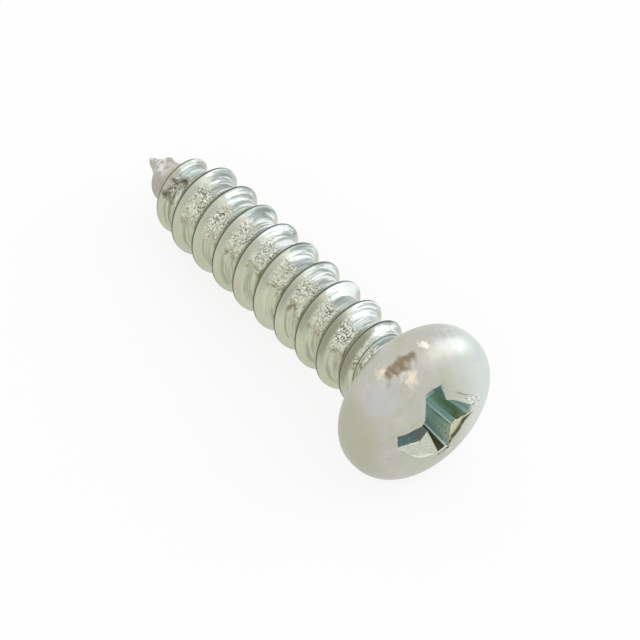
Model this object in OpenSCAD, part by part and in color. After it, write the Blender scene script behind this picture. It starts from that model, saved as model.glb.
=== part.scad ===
// Pan head sheet metal screw with a cross recess and a cone point.
// It is one piece of steel wire: the head is cold headed and the thread is rolled.
// The screw lies as it comes to rest, on the rim of its head and on one crest of its
// thread, with its point toward -X and its head toward +X.
// Lengths are in millimetres and angles in degrees.

/* [Thread] */
// Diameter over the thread crests
thread_d = 3.5; // [3.3:0.01:3.7]
// Diameter at the root between two turns
root_d = 2.7; // [2.5:0.01:2.8]
// Distance from one turn to the next
pitch = 1.3; // [1.2:0.01:1.5]
// Angle between the two flanks of a turn
flank_angle = 60; // [50:1:65]
// Width of the flat on a crest
crest_w = 0.1; // [0.05:0.01:0.15]
// Size of the curve between a flank and the root
root_blend = 0.28; // [0.1:0.01:0.3]
// Direction in which the thread leaves the point, round the axis from straight down
thread_turn = 270; // [0:9:351]

/* [Shank] */
// Length from the bearing face to the point
shank_l = 15.7; // [13:0.1:25]
// Length of the cone at the point
point_l = 3.2; // [2.5:0.1:4]
// Fullness of the cone, 1 for a straight one
point_power = 0.88; // [0.7:0.01:1]
// Length from the point over which the thread grows to its full height
thread_rise_l = 2.2; // [1.5:0.1:3]
// Length below the neck over which the last turns fade out
thread_fade_l = 2; // [0.5:0.1:3]
// Gap between the end of the thread and the neck
thread_gap = 0.1; // [0.05:0.01:0.3]
// Diameter of the neck, the blank on which the thread was rolled
neck_d = 2.92; // [2.85:0.01:3]
// Length over which the root swells to the neck
root_swell_l = 0.6; // [0.3:0.1:1]
// Diameter at which the fillet under the head meets the bearing face
fillet_d = 3.6; // [3.5:0.01:4.1]

/* [Head] */
// Diameter of the head
head_d = 6.44; // [6.2:0.01:7]
// Height of the head above the bearing face
head_h = 2.52; // [2.3:0.01:2.8]
// Radius of the crown
crown_r = 6.1; // [5:0.1:8]
// Radius of the shoulder between the crown and the widest place
shoulder_r = 1; // [0.6:0.05:1.2]
// Radius of the edge between the widest place and the bearing face
rim_r = 0.85; // [0.3:0.05:0.9]

/* [Cross recess] */
// Diameter over the wings at the top of the crown
recess_d = 3.5; // [3.2:0.05:4.2]
// Depth from the top of the crown to the floor of the wings
recess_depth = 1.75; // [1.4:0.05:1.8]
// Angle between a wall of the recess and the axis, at the end of a wing
recess_slope = 9.5; // [5:0.5:12]
// Depth of the cone below the floor of the wings
recess_cone = 0.25; // [0.1:0.05:0.4]
// Width of a wing at its end
wing_w = 0.68; // [0.6:0.01:0.8]
// Width of a wing where it meets the others
wing_root_w = 1; // [0.9:0.01:1.1]
// Chamfer on the corner of each post between two wings
post_chamfer = 0.12; // [0.05:0.01:0.2]
// Diameter of the flat that the punch leaves round the recess
land_d = 2.9; // [2.7:0.05:3.1]
// Depth of that flat below the top of the crown
land_depth = 0.2; // [0.18:0.01:0.25]
// Direction of the first wing, round the axis from straight down
recess_turn = 0; // [0:1:89]

/* [Hidden] */
$fn = 96;
TURN_STEPS = 40;
ARC_STEPS = 8;
OVERLAP = 0.05;
// Step by which the neck stands proud of the root that ends in it
NECK_STEP = 0.04;
// Distance over which the rows of the thread close up toward the point
POINT_EASE = 0.2;
// How full the last turns stay before they end at the neck
FADE_POWER = 0.35;

crest_r = thread_d / 2;
root_r = root_d / 2;
neck_r = neck_d / 2;
head_r = head_d / 2;
neck_l = fillet_d / 2 - neck_r;
thread_h = crest_r - root_r;
flank_l = thread_h * tan(flank_angle / 2);
blend = min(root_blend, thread_h, (pitch - crest_w) / 2 - flank_l);

// Centre of the shoulder arc, whose circle touches the crown from inside
crown_z = head_h - crown_r;
shoulder_x = head_r - shoulder_r;
shoulder_z = crown_z + sqrt(pow(crown_r - shoulder_r, 2) - pow(shoulder_x, 2));
shoulder_end = atan2(shoulder_z - crown_z, shoulder_x);

function clamp01(x) = min(1, max(0, x));
function arc(centre, r, from, to) = [
    for (i = [0:ARC_STEPS])
        let (a = from + (to - from) * i / ARC_STEPS)
        centre + r * [cos(a), sin(a)]
];

// Half of the thread's section over one pitch: distance from the crest and share of the height
half_section = [
    [crest_w / 2, 1],
    [crest_w / 2 + flank_l - blend * sin(flank_angle / 2), blend * cos(flank_angle / 2) / thread_h],
    [crest_w / 2 + flank_l + blend / 2, blend / 8 / thread_h]
];
section = concat(
    [[-pitch / 2, 0]],
    [for (i = [2:-1:0]) [-half_section[i][0], half_section[i][1]]],
    half_section
);
rows = len(section);

// Distance from the point, eased so that the first rows close up on it without passing it
function eased(t) = (t + sqrt(t * t + 4 * POINT_EASE * POINT_EASE)) / 2;
// Radius of the root and share of the thread's height at a distance from the point
function swell(d) = clamp01(1 - (shank_l - neck_l - d) / root_swell_l);
function core_radius(d) =
    root_r * pow(clamp01(d / point_l), point_power)
    + (neck_r - NECK_STEP - root_r) * swell(d) * swell(d) * (3 - 2 * swell(d));
function thread_share(d) =
    clamp01(d / thread_rise_l)
    * pow(clamp01((shank_l - neck_l - thread_gap - d) / thread_fade_l), FADE_POWER);
function thread_point(step, row) =
    let (a = thread_turn + 360 * step / TURN_STEPS)
    let (d = eased(pitch * step / TURN_STEPS + section[row][0]))
    let (r = core_radius(d) + thread_h * section[row][1] * thread_share(d))
    [r * cos(a), r * sin(a), d - shank_l];

// The screw rests on the edge of its head and on the edge of a crest, the one that leaves it
// the least tilt
function crest_radius(d) = core_radius(d) + thread_h * thread_share(d);
function tilt_on(d) =
    let (a = head_r - rim_r - crest_radius(d))
    let (b = rim_r + shank_l - d)
    atan(a / b) + asin(rim_r / norm([a, b]));
lower_crests = [
    for (turn = [1:ceil(shank_l / pitch)], edge = [-crest_w / 2, crest_w / 2])
        let (d = eased(pitch * (turn - thread_turn / 360) + edge))
        if (d > 0 && d < shank_l - neck_l) d
];
tilt = min([for (d = lower_crests) tilt_on(d)]);
axis_height = (head_r - rim_r) * cos(tilt) - rim_r * sin(tilt) + rim_r;
middle_x = (crown_z * cos(tilt) + crown_r - shank_l * cos(tilt)) / 2;

// Root, thread and cone point as one closed skin that follows the helix
module threaded_shank() {
    steps = ceil(TURN_STEPS * (1 + (shank_l + OVERLAP) / pitch + 0.5));
    grid = [for (s = [0:steps], r = [0:rows - 1]) thread_point(s, r)];
    tip = len(grid);
    top = tip + 1;
    points = concat(grid, [[0, 0, -shank_l], [0, 0, OVERLAP + pitch / 2]]);
    // The row above the last one is the first row of the next turn
    function at(s, r) = r < rows ? s * rows + r : (s + TURN_STEPS) * rows;
    last = steps - TURN_STEPS;
    sides = [
        for (s = [0:last - 1], r = [0:rows - 1], half = [0, 1])
            half == 0
                ? [at(s, r), at(s, r + 1), at(s + 1, r + 1)]
                : [at(s, r), at(s + 1, r + 1), at(s + 1, r)]
    ];
    tip_fan = concat(
        [for (s = [0:TURN_STEPS - 2]) [tip, at(s, 0), at(s + 1, 0)]],
        [for (r = [0:rows - 1]) [at(TURN_STEPS - 1, 0), at(0, r + 1), at(0, r)]],
        [[at(TURN_STEPS - 1, 0), at(0, 0), tip]]
    );
    top_fan = concat(
        [for (s = [last:steps - 1]) [top, at(s + 1, 0), at(s, 0)]],
        [for (r = [0:rows - 1]) [top, at(last, r), at(last, r + 1)]]
    );
    polyhedron(points, concat(sides, tip_fan, top_fan));
}

// Crown, shoulder, edge, bearing face, fillet and neck in one turned outline
module headed_blank() {
    rotate_extrude()
        polygon(concat(
            [[0, -neck_l], [neck_r, -neck_l]],
            arc([neck_r + neck_l, -neck_l], neck_l, 180, 90),
            arc([head_r - rim_r, rim_r], rim_r, -90, 0),
            arc([shoulder_x, shoulder_z], shoulder_r, 0, shoulder_end),
            arc([0, crown_z], crown_r, shoulder_end, 90)
        ));
}

// Four wings that widen toward the middle, a cone below them and a shallow flat round them
module cross_recess() {
    floor_z = head_h - recess_depth;
    half = wing_root_w / 2;
    reach = recess_d / 2;
    // Share of its size at the top of the crown that the cross has at a depth below it
    function share(depth) = 1 - depth * tan(recess_slope) / reach;
    corners = [
        [reach, -wing_w / 2],
        [reach, wing_w / 2],
        [half + post_chamfer, half],
        [half, half + post_chamfer]
    ];
    cross = [
        for (turn = [0:90:270], c = corners)
            share(recess_depth) * [c.x * cos(turn) - c.y * sin(turn), c.x * sin(turn) + c.y * cos(turn)]
    ];
    rotate([0, 0, recess_turn])
        translate([0, 0, floor_z])
            linear_extrude(
                height = recess_depth + OVERLAP,
                scale = share(-OVERLAP) / share(recess_depth)
            )
                polygon(cross);
    // The cone runs a little way up into the cross, so that the two meet without a gap
    cone_r = half * share(recess_depth);
    translate([0, 0, floor_z - recess_cone])
        cylinder(h = recess_cone + OVERLAP, r1 = 0, r2 = cone_r * (1 + OVERLAP / recess_cone));
    translate([0, 0, head_h - land_depth])
        cylinder(h = land_depth + OVERLAP, d = land_d);
}

module screw() {
    color([0.76, 0.78, 0.71])
        translate([-middle_x, 0, axis_height])
            rotate([0, 90 - tilt, 0])
                difference() {
                    union() {
                        headed_blank();
                        threaded_shank();
                    }
                    cross_recess();
                }
}

screw();
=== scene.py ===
import math

import bmesh
import bpy
from mathutils import Matrix, Vector, noise


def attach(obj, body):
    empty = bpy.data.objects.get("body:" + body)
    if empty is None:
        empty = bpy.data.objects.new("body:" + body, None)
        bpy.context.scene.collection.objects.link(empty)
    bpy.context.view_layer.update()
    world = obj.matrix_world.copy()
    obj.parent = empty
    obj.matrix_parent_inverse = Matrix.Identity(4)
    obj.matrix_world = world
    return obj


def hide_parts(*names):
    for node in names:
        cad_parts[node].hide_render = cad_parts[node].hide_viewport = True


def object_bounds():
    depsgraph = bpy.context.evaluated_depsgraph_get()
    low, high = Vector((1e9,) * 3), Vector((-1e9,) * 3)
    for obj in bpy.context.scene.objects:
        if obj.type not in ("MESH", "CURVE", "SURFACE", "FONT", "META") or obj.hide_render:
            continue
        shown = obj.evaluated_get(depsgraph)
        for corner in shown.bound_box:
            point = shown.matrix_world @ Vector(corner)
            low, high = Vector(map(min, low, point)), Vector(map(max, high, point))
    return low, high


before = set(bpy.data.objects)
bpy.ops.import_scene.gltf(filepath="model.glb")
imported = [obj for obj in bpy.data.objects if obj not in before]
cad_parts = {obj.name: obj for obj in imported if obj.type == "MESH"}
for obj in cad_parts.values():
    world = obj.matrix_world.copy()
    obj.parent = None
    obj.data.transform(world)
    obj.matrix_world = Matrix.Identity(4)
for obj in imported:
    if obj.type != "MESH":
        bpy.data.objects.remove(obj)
cad_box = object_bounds()

# The screw lies on a sheet of white card and is seen close up through a long lens, from
# above its head. The card is flat and plain, and the shadow of the screw on it is faint.
mm = 0.001
card_size = 0.8
card_glow = 0.8
card_grey = (0.24, 0.24, 0.24, 1)
camera_place = Vector((102.9294, -76.5928, 164.5581)) * mm
camera_aim = Vector((1.00391, 0.56865, 1.05791)) * mm
camera_lens = 310.877


def aimed(name, data, place, aim):
    """A camera or a lamp that stands at one point and looks at another"""
    made = bpy.data.objects.new(name, data)
    bpy.context.scene.collection.objects.link(made)
    turn = (aim - place).to_track_quat("-Z", "Y").to_matrix().to_4x4()
    made.matrix_world = Matrix.Translation(place) @ turn
    return made


lens = bpy.data.cameras.new("close_up")
lens.lens = camera_lens
lens.clip_start = 0.01
lens.clip_end = 10
bpy.context.scene.camera = aimed("close_up", lens, camera_place, camera_aim)


class Feed:
    """One socket of a finish. Sums and products with it add Math nodes to its tree."""

    def __init__(self, tree, socket=None):
        self.tree = tree
        self.socket = socket

    def node(self, kind, settings, inputs, output=0):
        """Any shader node: its settings first, then the values or links of its sockets"""
        made = self.tree.nodes.new("ShaderNode" + kind)
        for name, value in settings.items():
            if name == "stops":
                while len(made.color_ramp.elements) < len(value):
                    made.color_ramp.elements.new(1)
                for stop, (place, shade) in zip(made.color_ramp.elements, value):
                    stop.position = place
                    stop.color = shade
            else:
                setattr(made, name, value)
        for name, value in inputs.items():
            if isinstance(value, Feed):
                self.tree.links.new(value.socket, made.inputs[name])
            else:
                made.inputs[name].default_value = value
        return Feed(self.tree, made.outputs[output] if made.outputs else None)

    def maths(self, operation, *values):
        return self.node("Math", {"operation": operation}, dict(enumerate(values)))

    def __add__(self, other):
        return self.maths("ADD", self, other)

    def __sub__(self, other):
        return self.maths("SUBTRACT", self, other)

    def __rsub__(self, other):
        return self.maths("SUBTRACT", other, self)

    def __mul__(self, other):
        return self.maths("MULTIPLY", self, other)

    def __truediv__(self, other):
        return self.maths("DIVIDE", self, other)

    __radd__ = __add__
    __rmul__ = __mul__


def seen_directly(feed):
    """1 for what the camera, a reflection or clear glass shows, 0 for light on the object"""
    camera = feed.node("LightPath", {}, {}, "Is Camera Ray")
    glossy = feed.node("LightPath", {}, {}, "Is Glossy Ray")
    clear = feed.node("LightPath", {}, {}, "Is Transmission Ray")
    return feed.maths("MAXIMUM", feed.maths("MAXIMUM", camera, glossy), clear)


card = bmesh.new()
bmesh.ops.create_grid(card, x_segments=1, y_segments=1, size=card_size / 2)
bmesh.ops.translate(card, vec=(0, 0, cad_box[0][2]), verts=card.verts)
white_card = bpy.data.objects.new("white_card", bpy.data.meshes.new("white_card"))
card.to_mesh(white_card.data)
card.free()
bpy.context.scene.collection.objects.link(white_card)

paper = bpy.data.materials.new("white_card")
paper.use_nodes = True
paper.node_tree.nodes.clear()
sheet = Feed(paper.node_tree)
matt = sheet.node("BsdfDiffuse", {}, {"Color": card_grey})
glow = sheet.node("Emission", {}, {
    "Color": (1, 1, 1, 1),
    "Strength": seen_directly(sheet) * card_glow
})
sheet.node("OutputMaterial", {}, {"Surface": sheet.node("AddShader", {}, {0: matt, 1: glow})})
white_card.data.materials.append(paper)

# White walls all round light the screw evenly, and one large soft lamp stands above and
# behind it on the right, where the photograph shows the brightest metal.
wall_light = 0.75
key_place = Vector((80, 160, 60)) * mm
key_size = 230 * mm
key_power = 0.08

walls = bpy.data.worlds.new("white_walls")
walls.use_nodes = True
walls.node_tree.nodes.clear()
room = Feed(walls.node_tree)
level = wall_light + seen_directly(room) * (1 - wall_light)
air = room.node("Background", {}, {"Color": (1, 1, 1, 1), "Strength": level})
room.node("OutputWorld", {}, {"Surface": air})
bpy.context.scene.world = walls

key = bpy.data.lights.new("soft_key", "AREA")
key.shape = "DISK"
key.size = key_size
key.energy = key_power
aimed("soft_key", key, key_place, Vector((0, 0, 2 * mm)))
bpy.context.scene.view_settings.view_transform = "Standard"

# The head is upset cold from the end of the wire: a flat bearing face, a rounded rim and
# shoulder, and a shallow crown. All of it is turned round the axis of the screw, which
# runs up z from the bearing face. Lengths of the screw are in millimetres until it is laid.
head_r = 3.2148
head_h = 2.52
crown_r = 6.1
shoulder_r = 1.0
rim_r = 0.85
neck_r = 1.46
fillet_r = 0.34
head_turns = 168


def arc(centre, radius, start, end, steps):
    """Points along a round part of a turned outline: (distance from the axis, height)"""
    angles = [math.radians(start + (end - start) * i / steps) for i in range(steps + 1)]
    return [(centre[0] + radius * math.cos(a), centre[1] + radius * math.sin(a)) for a in angles]


crown_z = head_h - crown_r
shoulder_x = head_r - shoulder_r
shoulder_z = crown_z + math.sqrt((crown_r - shoulder_r) ** 2 - shoulder_x ** 2)
shoulder_end = math.degrees(math.atan2(shoulder_z - crown_z, shoulder_x))
outline = [(0, -fillet_r), (neck_r, -fillet_r)]
outline += arc((neck_r + fillet_r, -fillet_r), fillet_r, 180, 90, 8)[1:]
outline += arc((head_r - rim_r, rim_r), rim_r, -90, 0, 16)
outline += arc((shoulder_x, shoulder_z), shoulder_r, 0, shoulder_end, 16)
outline += arc((0, crown_z), crown_r, shoulder_end, 90, 44)[1:-1]
outline += [(0, head_h)]

head = bmesh.new()
ring = [head.verts.new((x, 0, z)) for x, z in outline]
rim = [head.edges.new(pair) for pair in zip(ring, ring[1:])]
bmesh.ops.spin(
    head, geom=ring + rim, cent=(0, 0, 0), axis=(0, 0, 1),
    angle=2 * math.pi, steps=head_turns, use_merge=True
)
bmesh.ops.remove_doubles(head, verts=head.verts, dist=1e-5)
bmesh.ops.recalc_face_normals(head, faces=head.faces)

# The cross recess is punched into the crown while the head is formed: four wings, walls that
# lean in a little, and a cone at the bottom. The driver has pushed two of the wings over,
# and the punch has dragged the tops of the four posts down, each to a flat facet.
recess_depth = 1.75
cone_depth = 0.25
floor_share = 0.83
facet_reach = 1.82
lip_w = 0.03
lip_drop = 0.03
step_w = 0.025
chip = 0.02
side_steps = 10
post_steps = 3
end_steps = 6
# Of each post: end of the wing before it, its two corners, end of the next wing, and the
# reach and depth of its facet
posts = (
    ((-1.68, -0.38), (-0.48, -0.49), (-0.30, -0.64), (-0.42, -1.69), 1.50, 0.20),
    ((0.19, -1.69), (0.53, -0.78), (0.22, -0.38), (1.68, 0.02), 1.54, 0.29),
    ((1.60, 0.42), (0.60, 0.66), (0.47, 0.88), (0.52, 1.38), 1.40, 0.25),
    ((0.26, 1.66), (-0.56, 0.90), (-0.86, 0.50), (-1.72, 0.33), 1.43, 0.20)
)


def crown_height(point):
    """Height of the crown above the bearing face at a distance from the axis"""
    return crown_z + math.sqrt(crown_r ** 2 - point.length_squared)


def outward(points, distance):
    """The same outline with every point moved away from the middle of the recess"""
    return [point + point.normalized() * distance for point in points]


mouth = []
facet_edge = []
facet_depth = []
for i, (before, first, second, after, land_r, depth) in enumerate(posts):
    before, first, second, after = (Vector(corner) for corner in (before, first, second, after))
    following = Vector(posts[(i + 1) % 4][0])
    path = [before.lerp(first, j / side_steps) for j in range(side_steps)]
    path += [first.lerp(second, j / post_steps) for j in range(post_steps)]
    path += [second.lerp(after, j / side_steps) for j in range(side_steps + 1)]
    turn = before.angle_signed(after)
    for j, point in enumerate(path):
        share = j / (len(path) - 1)
        near_end = max(0, 1 - 4.5 * min(share, 1 - share))
        reach = land_r + (facet_reach - land_r) * near_end ** 2
        facet_edge.append(Matrix.Rotation(-turn * share, 2) @ before.normalized() * reach)
        facet_depth.append(depth)
    mouth += path
    end = [after.lerp(following, j / end_steps) for j in range(1, end_steps)]
    end = [point.normalized() * max(point.length, after.length * 0.99) for point in end]
    mouth += end
    facet_edge += outward(end, 0.05)
    facet_depth += [depth] * len(end)
mouth = [
    point + point.normalized() * noise.noise(Vector((point.x, point.y, 0)) * 6) * chip
    for point in mouth
]
heights = [
    min(crown_height(point) - lip_drop, head_h - depth) for point, depth in zip(mouth, facet_depth)
]
inner_edge = outward(facet_edge, -step_w)
inner_heights = [
    min(crown_height(point) - lip_drop, head_h - depth) for point, depth in zip(inner_edge, facet_depth)
]
rings = [
    [(p.x, p.y, head_h + 0.4) for p in outward(facet_edge, 0.02)],
    [(p.x, p.y, crown_height(p) + 0.01) for p in facet_edge],
    [(p.x, p.y, h) for p, h in zip(inner_edge, inner_heights)],
    [(p.x, p.y, h) for p, h in zip(outward(mouth, lip_w), heights)],
    [(p.x, p.y, h - lip_drop) for p, h in zip(mouth, heights)],
    [(p.x * floor_share, p.y * floor_share, head_h - recess_depth) for p in mouth]
]

punch = bmesh.new()
above = None
for points in rings:
    ring = [punch.verts.new(point) for point in points]
    edges = [punch.edges.new(pair) for pair in zip(ring, ring[1:] + ring[:1])]
    if above:
        bmesh.ops.bridge_loops(punch, edges=above + edges)
    above = edges
open_edges = [edge for edge in punch.edges if edge.is_boundary]
bmesh.ops.holes_fill(punch, edges=open_edges)
bottom = min(punch.faces, key=lambda face: face.calc_center_median().z)
poked = bmesh.ops.poke(punch, faces=[bottom])
poked["verts"][0].co = (0, 0, head_h - recess_depth - cone_depth)
bmesh.ops.recalc_face_normals(punch, faces=punch.faces)

# The thread is rolled between flat dies from plain wire, so its crest stands proud of the
# blank and its root lies below it. One section is carried round the axis as a helix, then
# every point is moved to the cone at the tip and to the last turns that fade at the neck.
crest_r = 1.75
root_r = 1.35
pitch = 1.3
flank_angle = math.radians(30)
crest_half = 0.05
root_blend = 0.28
thread_turn = math.radians(270)
shank_l = 15.7
point_l = 3.2
point_power = 0.88
point_ease = 0.2
rise_l = 2.2
fade_l = 2.0
fade_power = 0.35
thread_gap = 0.1
swell_l = 0.6
swell_r = 1.42
turn_steps = 96
early_turns = 1
buried_l = 0.1

thread_h = crest_r - root_r
flank_l = thread_h * math.tan(flank_angle)
blend_top = (
    crest_half + flank_l - root_blend * math.sin(flank_angle),
    root_blend * math.cos(flank_angle)
)
blend_low = (crest_half + flank_l, 0)
blend_end = (crest_half + flank_l + root_blend, 0)
half_section = [(0, thread_h), (crest_half * 0.6, thread_h * 0.995), (crest_half, thread_h * 0.97)]
for i in range(1, 4):
    share = i / 4
    half_section.append((
        crest_half + (blend_top[0] - crest_half) * share,
        thread_h * 0.97 + (blend_top[1] - thread_h * 0.97) * share
    ))
for i in range(9):
    t = i / 8
    half_section.append(tuple(
        (1 - t) ** 2 * a + 2 * t * (1 - t) * b + t ** 2 * c
        for a, b, c in zip(blend_top, blend_low, blend_end)
    ))
section = [(-pitch / 2, 0)] + [(-x, h) for x, h in reversed(half_section[1:])]
section += half_section + [(pitch / 2, 0)]

shank = bmesh.new()
start_z = -early_turns * pitch
sideways = Vector((math.cos(thread_turn), math.sin(thread_turn), 0))
ring = [
    shank.verts.new(sideways * (root_r + h) + Vector((0, 0, start_z + x)))
    for x, h in section
]
chain = [shank.edges.new(pair) for pair in zip(ring, ring[1:])]
turns = early_turns + (shank_l + buried_l) / pitch + 0.6
steps = math.ceil(turns * turn_steps)
bmesh.ops.spin(
    shank, geom=ring + chain, cent=(0, 0, 0), axis=(0, 0, 1), dvec=(0, 0, pitch / turn_steps),
    angle=2 * math.pi * steps / turn_steps, steps=steps
)
bmesh.ops.remove_doubles(shank, verts=shank.verts, dist=1e-4)
bmesh.ops.bisect_plane(
    shank, geom=shank.verts[:] + shank.edges[:] + shank.faces[:],
    plane_co=(0, 0, shank_l + buried_l), plane_no=(0, 0, 1), clear_outer=True
)
open_edges = [edge for edge in shank.edges if edge.is_boundary]
tip_edges = [edge for edge in open_edges if edge.verts[0].co.z < shank_l / 2]
top_edges = [edge for edge in open_edges if edge.verts[0].co.z > shank_l / 2]
bmesh.ops.holes_fill(shank, edges=top_edges)
tip_face = bmesh.ops.contextual_create(shank, geom=tip_edges)["faces"]
tip_vert = bmesh.ops.poke(shank, faces=tip_face)["verts"][0]


def clamp01(value):
    return min(1, max(0, value))


def root_radius(d):
    """Radius of the root at a distance from the point"""
    swell = clamp01(1 - (shank_l - fillet_r - d) / swell_l)
    cone = root_r * clamp01(d / point_l) ** point_power
    return cone + (swell_r - root_r) * swell ** 2 * (3 - 2 * swell)


def thread_share(d):
    """Share of the thread's full height at a distance from the point"""
    rise = clamp01(d / rise_l)
    return rise * clamp01((shank_l - fillet_r - thread_gap - d) / fade_l) ** fade_power


for vert in shank.verts:
    flat = Vector((vert.co.x, vert.co.y))
    height = clamp01((flat.length - root_r) / thread_h)
    d = (vert.co.z + math.sqrt(vert.co.z ** 2 + 4 * point_ease ** 2)) / 2
    radius = root_radius(d) + thread_h * height * thread_share(d)
    flat = flat.normalized() * radius
    vert.co = (flat.x, flat.y, d - shank_l)
tip_vert.co = (0, 0, -shank_l)
bmesh.ops.recalc_face_normals(shank, faces=shank.faces)

# Head, shank and recess become one solid skin, which is then laid as the screw rests: on
# the rim of its head and on one crest near the point, with the point toward -X.
lean = 6.53877
axis_height = 3.107789
middle_x = -6.527292
sharp_angle = math.radians(12)

parts = []
for name, shape in (("head", head), ("shank", shank), ("punch", punch)):
    shape.faces.ensure_lookup_table()
    part = bpy.data.objects.new(name, bpy.data.meshes.new(name))
    shape.to_mesh(part.data)
    shape.free()
    bpy.context.scene.collection.objects.link(part)
    parts.append(part)
for part, operation in ((parts[1], "UNION"), (parts[2], "DIFFERENCE")):
    cut = parts[0].modifiers.new(part.name, "BOOLEAN")
    cut.operation = operation
    cut.object = part
    cut.solver = "EXACT"
whole = parts[0].evaluated_get(bpy.context.evaluated_depsgraph_get()).to_mesh()
screw = bmesh.new()
screw.from_mesh(whole)
for part in parts:
    bpy.data.objects.remove(part)
bmesh.ops.remove_doubles(screw, verts=screw.verts, dist=1e-5)
bmesh.ops.recalc_face_normals(screw, faces=screw.faces)

across_layer = screw.verts.layers.float.new("across")
for vert in screw.verts:
    vert[across_layer] = 1
    d = vert.co.z + shank_l
    if 0.001 < d < shank_l - fillet_r - thread_gap:
        turn = (d - point_ease ** 2 / d) / pitch
        turn -= (math.atan2(vert.co.y, vert.co.x) - thread_turn) / (2 * math.pi)
        vert[across_layer] = abs(turn - round(turn)) * pitch
for edge in screw.edges:
    edge.smooth = edge.calc_face_angle(0) < sharp_angle
for face in screw.faces:
    face.smooth = True
laid = Matrix.Rotation(math.radians(90 - lean), 4, "Y")
laid = Matrix.Translation((-middle_x, 0, axis_height)) @ laid
bmesh.ops.transform(screw, matrix=Matrix.Scale(mm, 4) @ laid, verts=screw.verts)
zinc_screw = bpy.data.objects.new("zinc_screw", bpy.data.meshes.new("zinc_screw"))
screw.to_mesh(zinc_screw.data)
screw.free()
bpy.context.scene.collection.objects.link(zinc_screw)

# Bright zinc plating over steel: satin on the head, glossier on the rolled flanks, and torn
# in the root, where its sparkle is painted as bright and dark specks. Its thin film tints the
# metal yellow, green, pink and lilac.
# Distances in this finish are millimetres along and round the axis of the screw.
plating = bpy.data.materials.new("zinc_plating")
plating.use_nodes = True
plating.node_tree.nodes.clear()
zinc = Feed(plating.node_tree)
stand_up = Matrix.Rotation(math.radians(lean - 90), 3, "Y")
spot = zinc.node("Mapping", {"vector_type": "POINT"}, {
    "Vector": zinc.node("TexCoord", {}, {}, "Object"),
    "Location": -(stand_up @ Vector((-middle_x, 0, axis_height))),
    "Rotation": (0, math.radians(lean - 90), 0),
    "Scale": (1 / mm, 1 / mm, 1 / mm)
})
x = zinc.node("SeparateXYZ", {}, {0: spot}, "X")
y = zinc.node("SeparateXYZ", {}, {0: spot}, "Y")
z = zinc.node("SeparateXYZ", {}, {0: spot}, "Z")
radius = zinc.maths("SQRT", x * x + y * y)
across = zinc.node("Attribute", {"attribute_name": "across"}, {}, "Fac")


def between(value, low, high):
    """0 below the low value, 1 above the high one, and a smooth step between them"""
    limits = {"Value": value, "From Min": low, "From Max": high}
    return zinc.node("MapRange", {"interpolation_type": "SMOOTHSTEP"}, limits)


def near(value, centre, width):
    """1 where the value is the centre, down to 0 at the width on either side"""
    return between(zinc.maths("ABSOLUTE", value - centre), width, 0)


def speckle(size, detail, roughness, where=spot):
    """Cloudy noise from 0 to 1 whose patches are about so many millimetres wide"""
    values = {"Vector": where, "Scale": 1 / size, "Detail": detail, "Roughness": roughness}
    return zinc.node("TexNoise", {}, values)


def tint(share, under, over):
    """One colour laid over another"""
    over = over if isinstance(over, Feed) else over + (1,)
    return zinc.node("Mix", {"data_type": "RGBA"}, {0: share, 6: under, 7: over}, 2)


clouds = speckle(1.6, 2, 0.5)
patches = speckle(0.7, 3, 0.6)
smears = speckle(0.28, 3, 0.6)
grain = speckle(0.09, 3, 0.7)
foil = speckle(0.075, 2, 0.6)
drift = zinc.node("VectorMath", {"operation": "SUBTRACT"}, {
    0: zinc.node("TexNoise", {}, {"Vector": spot, "Scale": 2.2, "Detail": 3.0}, "Color"),
    1: (0.5, 0.5, 0.5)
})
wavering = zinc.node("VectorMath", {"operation": "MULTIPLY_ADD"}, {
    0: drift, 1: (0.9, 0.9, 0.9), 2: spot
})


def distance_from(centre, where=spot):
    """Millimetres from one place of the screw"""
    return zinc.node("VectorMath", {"operation": "DISTANCE"}, {0: where, 1: centre}, "Value")


def patch(centre, reach):
    """A patch with a ragged edge round one place of the head, for stains and painted highlights"""
    return between(distance_from(centre, wavering), reach, reach * 0.25)


# The head: clouds of grey, cream and lilac, with a painted highlight that makes it lighter and
# bluer toward +Y and painted shade that makes it darker and more yellow toward -Y. A brown stain
# with a pale pink border lies across the shoulder where the die rubbed it.
on_head = between(z, -0.45, -0.3)
colour = tint(between(clouds, 0.35, 0.65), (0.535, 0.545, 0.445, 1), (0.54, 0.53, 0.485))
colour = tint(between(patches, 0.5, 0.68) * 0.7, colour, (0.60, 0.585, 0.56))
colour = tint(between(patches, 0.45, 0.28) * 0.7, colour, (0.46, 0.48, 0.365))
colour = tint(between(smears, 0.5, 0.7) * 0.35, colour, (0.44, 0.45, 0.37))
# Painted shade: the rim toward -Y is darker and more yellow.
colour = tint(between(y, -1.9, -3.0) * 0.7, colour, (0.44, 0.45, 0.33))
# Painted highlight: the head is lighter and bluer toward +Y.
colour = tint(between(y, 0.4, 2.4) * 0.85, colour, (0.70, 0.78, 0.735))
colour = tint(patch((-2.1, -1.9, 1.8), 1.0) * 0.6, colour, (0.57, 0.57, 0.58))
pink = zinc.maths("MAXIMUM", patch((-2.55, -0.8, 1.9), 0.65), patch((-2.8, -1.45, 1.27), 0.5))
colour = tint(pink * between(smears, 0.36, 0.6), colour, (0.87, 0.775, 0.65))
yellow = patch((-1.1, -1.55, 2.2), 0.4) * between(smears, 0.4, 0.6)
colour = tint(yellow * 0.7, colour, (0.64, 0.65, 0.46))
dull = patch((-2.9, 1.5, 0.95), 0.9) * between(smears, 0.42, 0.55)
colour = tint(dull * 0.7, colour, (0.52, 0.50, 0.51))
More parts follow.
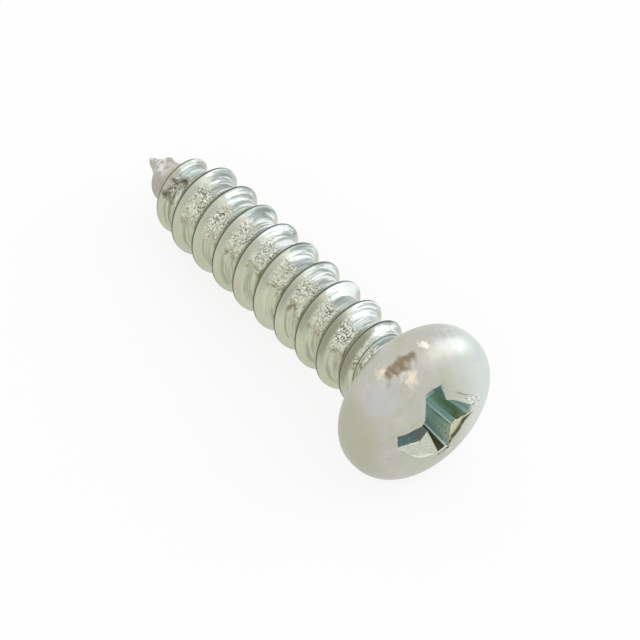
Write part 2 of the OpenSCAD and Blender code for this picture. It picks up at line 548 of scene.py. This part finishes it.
# Painted highlight: creamy and bluish white dabs inside the highlight toward +Y.
colour = tint(patch((-3.1, 0.4, 1.35), 0.5) * between(smears, 0.46, 0.6), colour, (0.90, 0.90, 0.82))
colour = tint(patch((-2.4, 1.7, 1.65), 0.6) * between(smears, 0.42, 0.56), colour, (0.74, 0.81, 0.78))
colour = tint(patch((-2.95, 0.95, 1.4), 0.4) * 0.7, colour, (0.60, 0.585, 0.62))
colour = tint(patch((-1.5, 2.35, 1.75), 0.5) * 0.5, colour, (0.54, 0.62, 0.65))
for centre, reach in (
    ((-3.09, -0.3, 1.47), 0.32), ((-3.05, -0.6, 1.46), 0.38), ((-3.0, -0.87, 1.44), 0.36),
    ((-2.9, -1.12, 1.47), 0.28), ((-2.75, -1.4, 1.51), 0.3)
):
    colour = tint(patch(centre, reach) * between(smears, 0.2, 0.5), colour, (0.28, 0.225, 0.135))
pits = between(grain, 0.36, 0.28)
colour = tint(pits * 0.3, colour, (0.25, 0.25, 0.2))

# The recess: teal walls that see each other, a brown end wall and a blue-grey side wall, and
# pale worn edges. Highlights are painted on the post corners and the near step, shade in the far
# step, and glints on the facets, which otherwise keep the colour of the crown and carry small
# pits. On the crown, painted highlights and dark reflections line a facet and one wing's end.
facing = zinc.node("NewGeometry", {}, {}, "True Normal")


def turned_to(direction):
    """How squarely the surface faces a direction given along the axes of the screw"""
    axis = laid.to_3x3() @ Vector(direction).normalized()
    return zinc.node("VectorMath", {"operation": "DOT_PRODUCT"}, {0: facing, 1: axis}, "Value")


deep = head_h - z
sunk = crown_r - distance_from((0, 0, crown_z))
in_mouth = (1 - between(radius, 1.88, 1.9)) * between(z, 0.2, 0.3) * between(sunk, 0.01, 0.02)
upright = between(turned_to((0, 0, 1)), 0.6, 0.45)
wall = in_mouth * zinc.maths("MAXIMUM", upright, between(deep, 0.4, 0.45))
facet = in_mouth * (1 - wall) * between(deep, 0.235, 0.25)
far_post = between(x, 0.3, 0.4) * between(y, 0.1, 0.2)
near_post = between(x, 0.0, 0.1) * between(y, 0.1, -0.1)
fan = 1 - deep * ((1 - floor_share) / recess_depth)
walls = tint(between(smears, 0.4, 0.6), (0.50, 0.67, 0.61, 1), (0.68, 0.83, 0.75))
walls = tint(between(x, -0.7, -1.5), walls, (0.50, 0.71, 0.76))
walls = tint(between(y, 0.8, 1.2) * between(x, -0.2, 0.2), walls, (0.52, 0.64, 0.50))
walls = tint(patch((0.44, 1.0, 2.05), 0.34), walls, (0.44, 0.41, 0.26))
near_wing = between(y, -0.62, -0.72)
walls = tint(near_wing, walls, (0.50, 0.56, 0.64))
worn = near_wing * between(deep, 0.9, 0.4) * between(smears, 0.45, 0.55)
walls = tint(worn, walls, (0.66, 0.72, 0.68))
walls = tint(near_wing * between(grain, 0.5, 0.42) * 0.6, walls, (0.36, 0.38, 0.46))
side_wall = between(x, 0.62, 0.7) * between(turned_to((0, -1, 0)), 0.5, 0.8)
walls = tint(side_wall, walls, (0.68, 0.84, 0.76))
worn = side_wall * between(deep, 1.2, 0.45)
walls = tint(worn * between(smears, 0.3, 0.5), walls, (0.95, 1.0, 0.84))
walls = tint(worn * between(grain, 0.48, 0.42) * 0.75, walls, (0.30, 0.34, 0.25))
end_wall = between(x, 1.1, 1.2) * between(turned_to((-1, 0, 0)), 0.6, 0.8)
walls = tint(end_wall, walls, (0.15, 0.135, 0.07))
far_corner = between(turned_to((-0.87, -0.49, 0)), 0.93, 0.97) * between(x * y, 0.1, 0.16)
walls = tint(far_corner, walls, (0.64, 0.82, 0.78))
first, second = (Vector(corner) for corner in posts[2][1:3])
chamfer = (second - first) / (second - first).length_squared
over_corner = x / fan * chamfer.x + y / fan * chamfer.y - first.dot(chamfer)
# Painted highlight: two bright lines along the chamfer of the far post's corner.
painted_edge_highlight = far_corner * between(over_corner, 0.36, 0.24)
walls = tint(painted_edge_highlight, walls, (0.95, 1.0, 1.0))
walls = tint(far_corner * between(over_corner, 0.75, 0.9) * 0.7, walls, (0.9, 1.0, 1.0))
# Painted highlight on the rounded corner of the near post.
near_corner = between(turned_to((-0.79, -0.61, 0)), 0.93, 0.97) * near_post
walls = tint(near_corner, walls, (0.92, 0.92, 0.76))
step = between(deep, 0.31, 0.28)
# Painted shade: a dark line in the step beside the far post's facet.
walls = tint(step * far_post, walls, (0.50, 0.50, 0.36))
walls = tint(step * far_post * between(smears, 0.36, 0.5), walls, (0.13, 0.12, 0.08))
# Painted highlight: the bright crescent of the step beside the near post's facet.
walls = tint(step * near_post, walls, (0.92, 0.96, 0.88))
colour = tint(wall, colour, walls)
colour = tint(facet * far_post, colour, (0.60, 0.64, 0.43))
colour = tint(facet * near_post, colour, (0.57, 0.61, 0.50))
colour = tint(facet * between(grain, 0.42, 0.34) * 0.7, colour, (0.30, 0.31, 0.24))
# Painted glints: bright specks on the facets.
colour = tint(facet * between(foil, 0.62, 0.68), colour, (0.90, 0.92, 0.85))
off_edge = y * 0.727 - x * 0.686 + (smears - 0.5) * 0.08
along_edge = x * 0.727 + y * 0.686
crown_only = between(z, 1.9, 2.0) * (1 - wall)
# Painted dark reflection: a dark line on the crown along the outer edge of a facet.
fold_dark_reflection = near(off_edge, 1.38, 0.07) * between(along_edge, -0.4, 0.2) * between(along_edge, 1.5, 1.2)
colour = tint(fold_dark_reflection * crown_only * 0.8, colour, (0.26, 0.28, 0.19))
torn_lip = between(along_edge, 0.2, 0.9) * between(along_edge, 1.9, 1.5) * crown_only
torn_lip = torn_lip * between(off_edge, 1.0, 1.04) * between(off_edge, 1.5, 1.4)
scratches_and_glints = speckle(0.05, 2, 0.6, zinc.node("CombineXYZ", {}, {0: along_edge * 0.2, 1: off_edge}))
# Painted glints: the bright scratches on the torn lip.
colour = tint(torn_lip * between(scratches_and_glints, 0.50, 0.58) * 0.9, colour, (0.95, 0.97, 0.92))
colour = tint(torn_lip * between(scratches_and_glints, 0.46, 0.38) * 0.8, colour, (0.28, 0.31, 0.23))
past_end = x + y * 0.2
beside_end = near(y, 0.3, 0.42) * crown_only
# Painted highlights on the rim past the end of a wing, with a painted dark reflection between them.
colour = tint(near(past_end, 1.71, 0.07) * beside_end, colour, (0.95, 0.97, 0.90))
colour = tint(near(past_end, 1.82, 0.09) * beside_end, colour, (0.10, 0.10, 0.06))
colour = tint(near(past_end, 1.95, 0.08) * near(y, 0.5, 0.3) * crown_only, colour, (0.92, 0.94, 0.86))

# The thread: greenish where it faces -Y, with a brown smudge at the foot of the flank, a band
# of torn metal in the root above it with painted glints and dark specks, and long bluish streaks
# of painted highlight toward +Y. Painted shade lines the crests, a painted highlight lies on the
# point, and painted shade and highlight flank the last ridge at the neck.
shank_side = 1 - on_head
along = z + shank_l
angle = zinc.maths("ARCTAN2", y, 0 - x) * (180 / math.pi)
angle = angle + (clouds - 0.5) * 60 + (patches - 0.5) * 50
low_side = between(angle, -35, -75) * between(angle, -140, -115)
turned_away = between(zinc.maths("ABSOLUTE", angle + 27), 88, 112)
high_side = between(angle, -8, 20) * (1 - turned_away)
torn_and_glinting = zinc.maths("MAXIMUM", near(angle, -15, 38), turned_away * 0.5)
torn_and_glinting = torn_and_glinting * between(across, 0.12, 0.28) * between(along, 1.0, 2.8)
torn_and_glinting = torn_and_glinting * (0.35 + between(patches, 0.38, 0.55) * 0.65)
foot = between(across, 0.14, 0.26)
at_neck = between(z, -2.3, -1.7)
last_ridge = near(across, 0.46, 0.11) * between(z, -1.9, -1.65) * (1 - turned_away)
round_axis = zinc.node("CombineXYZ", {}, {0: angle * 0.012, 1: across * 8, 2: z * 1.5})
streaks = speckle(1.0, 3, 0.6, round_axis)
lines = zinc.node("CombineXYZ", {}, {0: angle * 0.007, 1: across, 2: z * 0.3})
foil = foil + (speckle(0.05, 2, 0.6, lines) - foil) * at_neck
glint_specks = zinc.maths("MAXIMUM", foil, speckle(0.12, 2, 0.6))
rolled = tint(high_side, (0.54, 0.56, 0.455, 1), (0.46, 0.52, 0.49))
rolled = tint(low_side, rolled, (0.55, 0.58, 0.43))
rolled = tint(between(patches, 0.55, 0.75) * (1 - high_side) * 0.7, rolled, (0.55, 0.50, 0.44))
streaked = low_side * foot * between(streaks, 0.46, 0.58)
rolled = tint(streaked * 0.85, rolled, (0.35, 0.35, 0.24))
rolled = tint(low_side * between(streaks, 0.42, 0.34) * 0.6, rolled, (0.62, 0.65, 0.50))
smudge = near(angle, -47, 16) * foot * between(smears, 0.4, 0.6)
rolled = tint(smudge, rolled, (0.24, 0.22, 0.14))
# Painted highlight: bright bluish streaks toward +Y, with darker lines between them.
rolled = tint(high_side * between(streaks, 0.5, 0.56), rolled, (0.87, 0.93, 0.91))
rolled = tint(high_side * between(streaks, 0.46, 0.39) * 0.85, rolled, (0.24, 0.28, 0.25))
# Painted glints and dark reflections: bright and dark specks over the torn metal of the root.
rolled = tint(torn_and_glinting * between(glint_specks, 0.55, 0.61), rolled, (0.88, 0.90, 0.83))
rolled = tint(torn_and_glinting * between(foil, 0.49, 0.42), rolled, (0.12, 0.13, 0.08))
yellow = near(angle, -38, 24) * foot * between(along, 2.4, 3.2) * between(grain, 0.54, 0.62)
rolled = tint(yellow, rolled, (0.84, 0.83, 0.58))
rolled = tint(between(along, 2.8, 1.7) * 0.85, rolled, (0.42, 0.405, 0.345))
# Painted highlight: pale patches on the point.
pale = between(along, 2.0, 1.2) * near(angle, -8, 45) * between(smears, 0.42, 0.56)
rolled = tint(pale, rolled, (0.78, 0.78, 0.75))
for centre, reach in (
    ((-1.24, -0.49, -12.94), 0.5), ((-0.83, -1.01, -13.0), 0.4), ((-1.39, -0.54, -12.52), 0.4)
):
    rolled = tint(patch(centre, reach) * between(smears, 0.36, 0.56), rolled, (0.13, 0.12, 0.08))
# Painted shade and painted highlight on either side of the last ridge at the neck.
rolled = tint(last_ridge * between(across, 0.47, 0.44), rolled, (0.11, 0.12, 0.08))
rolled = tint(last_ridge * between(across, 0.46, 0.49) * 0.8, rolled, (0.92, 0.94, 0.88))
# Painted shade: a dark line along every crest past the first turn at the point.
crest = between(across, 0.05, 0.03) * between(along, 1.2, 2.2)
rolled = tint(crest * 0.9, rolled, (0.08, 0.09, 0.06))
colour = tint(shank_side, colour, rolled)

roughness = 0.32 - shank_side * 0.06 + patches * 0.08 + wall * 0.1
relief = grain * 0.12 + patches * 0.3 + smears * 0.25
relief = relief + shank_side * (torn_and_glinting * foil * 0.8 + high_side * streaks * 0.8 + last_ridge * 1.5)
bump = zinc.node("Bump", {}, {"Height": relief, "Distance": 0.02 * mm, "Strength": 1.0})
# The painted highlight on the far post's chamfer is made less metallic, as is the side wall.
metal = zinc.node("BsdfPrincipled", {}, {
    "Base Color": colour, "Metallic": 1 - wall * (side_wall * 0.5 + painted_edge_highlight * 0.9),
    "Roughness": roughness, "Normal": bump
})
zinc.node("OutputMaterial", {}, {"Surface": metal})
zinc_screw.data.materials.append(plating)

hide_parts("screw")
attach(zinc_screw, "root")
